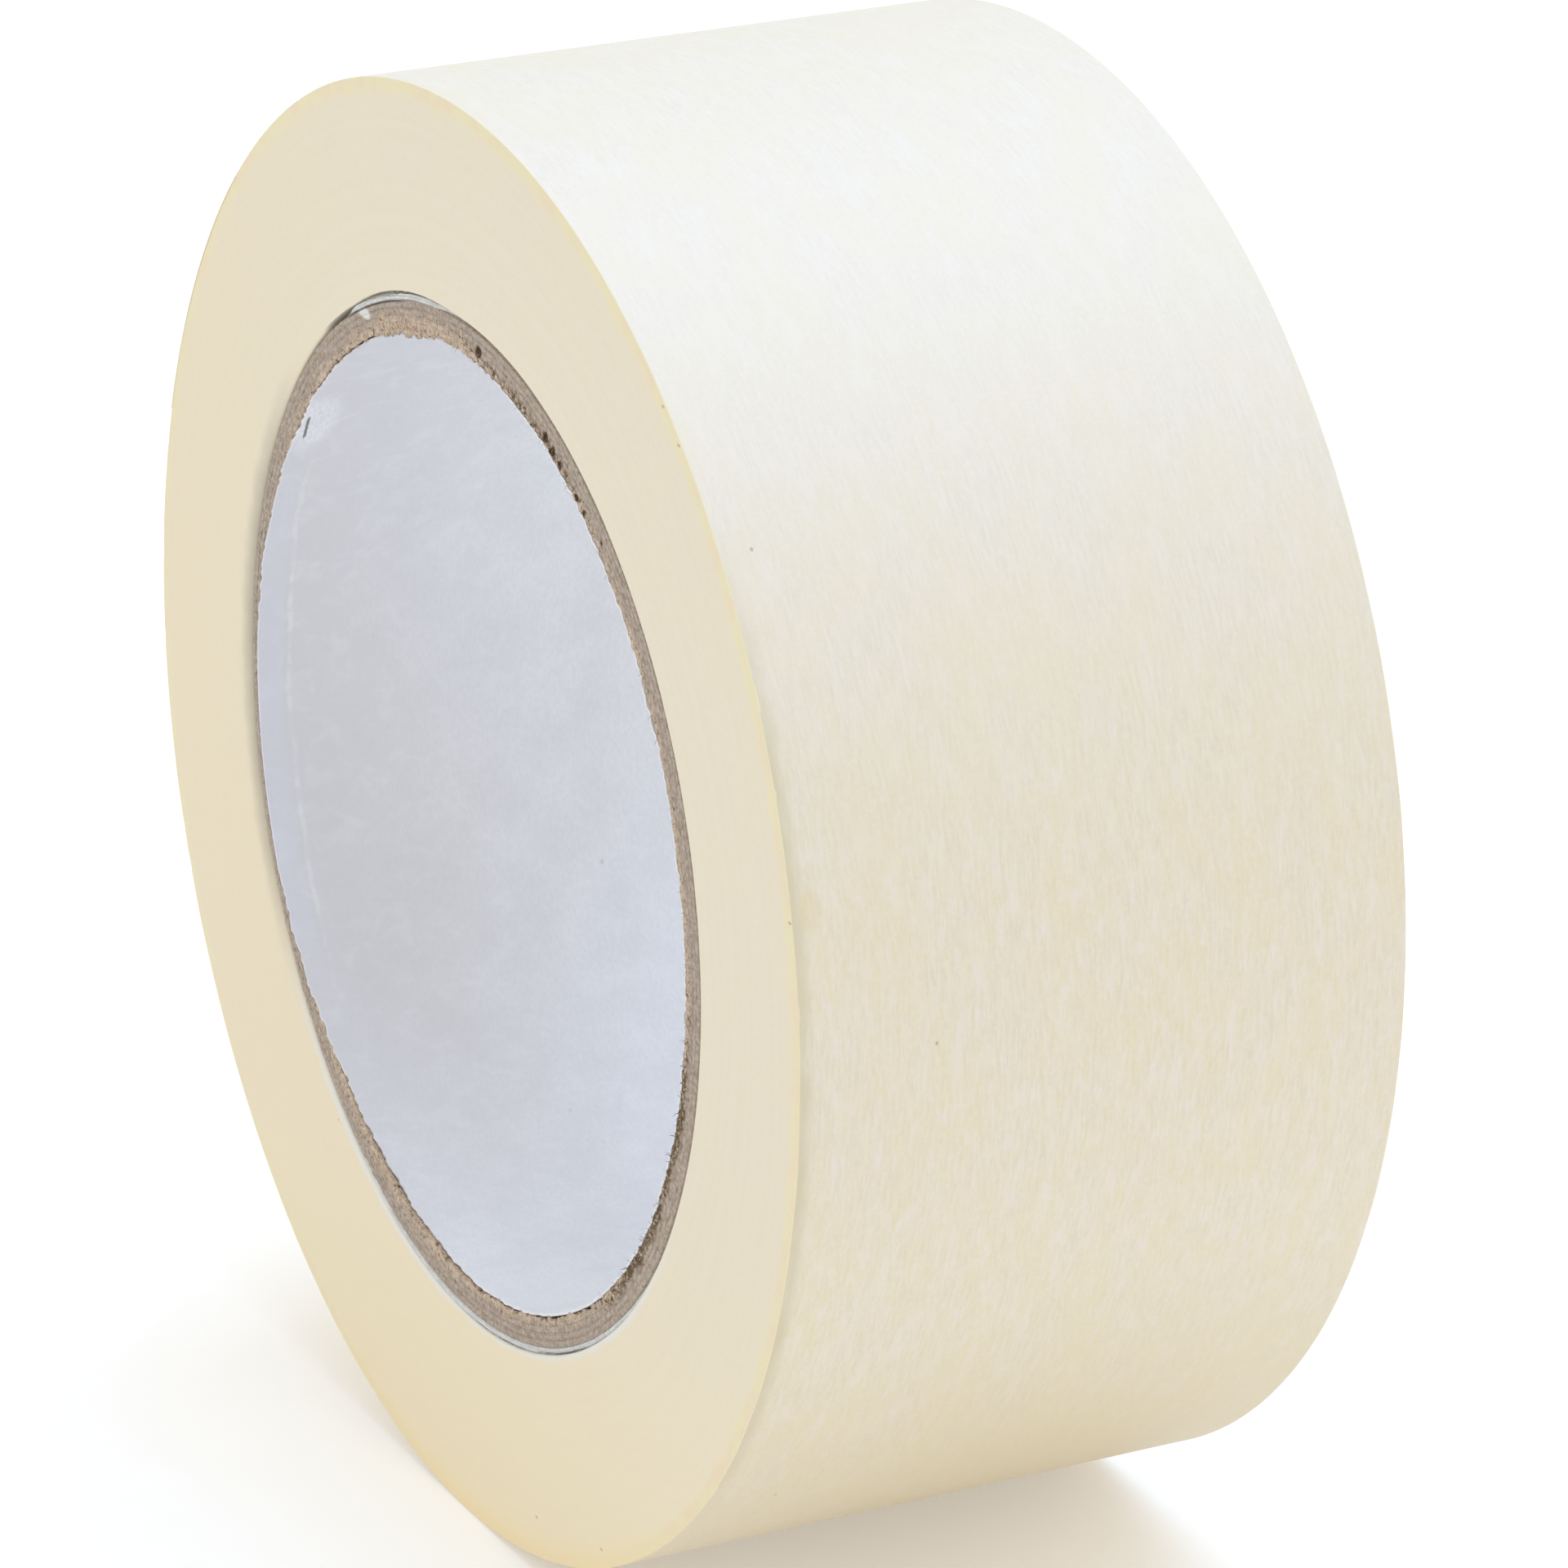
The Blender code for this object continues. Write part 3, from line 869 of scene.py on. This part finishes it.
def build_fibres(board):
    """Make the loose fibres that stand out of the torn inner edges of the board."""
    rng = np.random.default_rng(77)
    points = []
    faces = []
    for centre, spread, share in TORN_PLACES:
        for _ in range(int(FIBRE_COUNT * share)):
            angle = math.radians(rng.normal(centre, spread))
            outwards = Vector((0, rng.choice([-1, 1], p=[0.75, 0.25]), 0))
            radius = BOARD_RADIUS + rng.uniform(0.0, 0.45) * MM
            root = Vector((radius * math.cos(angle), 0, radius * math.sin(angle)))
            root += outwards * (CORE_HALF_LENGTH - 0.05 * MM)
            add_fibre(rng, root, outwards, points, faces)
    mesh = bpy.data.meshes.new("board_fibres")
    mesh.from_pydata(points, [], faces)
    mesh.uv_layers.new(name="UVMap")
    fibres = add_object("board_fibres", mesh, [board])
    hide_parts("core_ply_1")
    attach(fibres, "roll")


def build_core(paper, board, wrap):
    """Make the core: liner, plies of board with their loose fibres, and the outer wrap."""
    build_liner(paper)
    for number in range(1, PLY_COUNT + 1):
        build_ply(number, board)
    build_fibres(board)
    build_wrap(wrap)


# ---------------------------------------------------------------- stage

VIEW_AZIMUTH = 63.1
VIEW_ELEVATION = 20.6
VIEW_DISTANCE = 0.633
LENS = 187.0
AIM_RIGHT = 2.8 * MM
AIM_DOWN = 0.64 * MM
FLOOR_REACH = 4.0
FLOOR_GLOW = 0.26
SURROUND_STRENGTH = 0.88
WHITE = (1.0, 1.0, 1.0, 1.0)


def add_camera():
    """Place the camera; azimuth 0 would look along +Y."""
    azimuth = math.radians(VIEW_AZIMUTH)
    elevation = math.radians(VIEW_ELEVATION)
    back = Vector((
        math.sin(azimuth) * math.cos(elevation),
        -math.cos(azimuth) * math.cos(elevation),
        math.sin(elevation),
    ))
    right = Vector((math.cos(azimuth), math.sin(azimuth), 0))
    up = back.cross(right)
    camera = bpy.data.objects.new("camera", bpy.data.cameras.new("camera"))
    camera.data.lens = LENS
    camera.data.sensor_width = 36.0
    camera.data.clip_start = 0.01
    camera.location = back * VIEW_DISTANCE + right * AIM_RIGHT - up * AIM_DOWN
    camera.rotation_mode = "QUATERNION"
    camera.rotation_quaternion = back.to_track_quat("Z", "Y")
    bpy.context.scene.collection.objects.link(camera)
    bpy.context.scene.camera = camera


def add_area_light(name, location, size, power, color):
    """Add a soft square light that faces the roll."""
    light = bpy.data.lights.new(name, "AREA")
    light.color = color
    light.size = size
    light.energy = power
    lamp = bpy.data.objects.new(name, light)
    lamp.location = location
    lamp.rotation_mode = "QUATERNION"
    lamp.rotation_quaternion = Vector(location).to_track_quat("Z", "Y")
    bpy.context.scene.collection.objects.link(lamp)


def add_floor():
    """Add the pale floor that the roll stands on."""
    mesh = bpy.data.meshes.new("floor")
    low = -ROLL_RADIUS
    corners = [
        (-FLOOR_REACH, -FLOOR_REACH, low),
        (FLOOR_REACH, -FLOOR_REACH, low),
        (FLOOR_REACH, FLOOR_REACH, low),
        (-FLOOR_REACH, FLOOR_REACH, low),
    ]
    mesh.from_pydata(corners, [], [(0, 1, 2, 3)])
    paint = Paint("floor_paint", roughness=0.8, specular=0.1)
    grain = paint.solid_noise(4 * MM)
    paint.color(paint.mix(grain, srgb(226, 223, 216), srgb(229, 226, 219)))
    paint.shader.inputs["Emission Color"].default_value = WHITE
    paint.shader.inputs["Emission Strength"].default_value = FLOOR_GLOW
    floor = add_object("floor", mesh, [paint.material])


def add_lights():
    """Light the roll from a white surround and a large soft lamp above and behind it."""
    world = bpy.data.worlds.new("surround")
    world.use_nodes = True
    background = world.node_tree.nodes["Background"]
    background.inputs["Color"].default_value = WHITE
    background.inputs["Strength"].default_value = SURROUND_STRENGTH
    bpy.context.scene.world = world
    sky_blue = (0.44, 0.64, 1.0)
    add_area_light("overhead", location=(-0.08, 0.28, 1.15), size=1.1, power=11.0, color=sky_blue)


def main():
    bpy.context.scene.view_settings.view_transform = "Standard"
    add_camera()
    add_floor()
    add_lights()
    side = side_paint()
    crepe = crepe_paint()
    build_tape(side, crepe)
    build_strip_end(crepe, adhesive_paint(), side)
    build_core(liner_paint(), board_paint(), wrap_paint())


main()
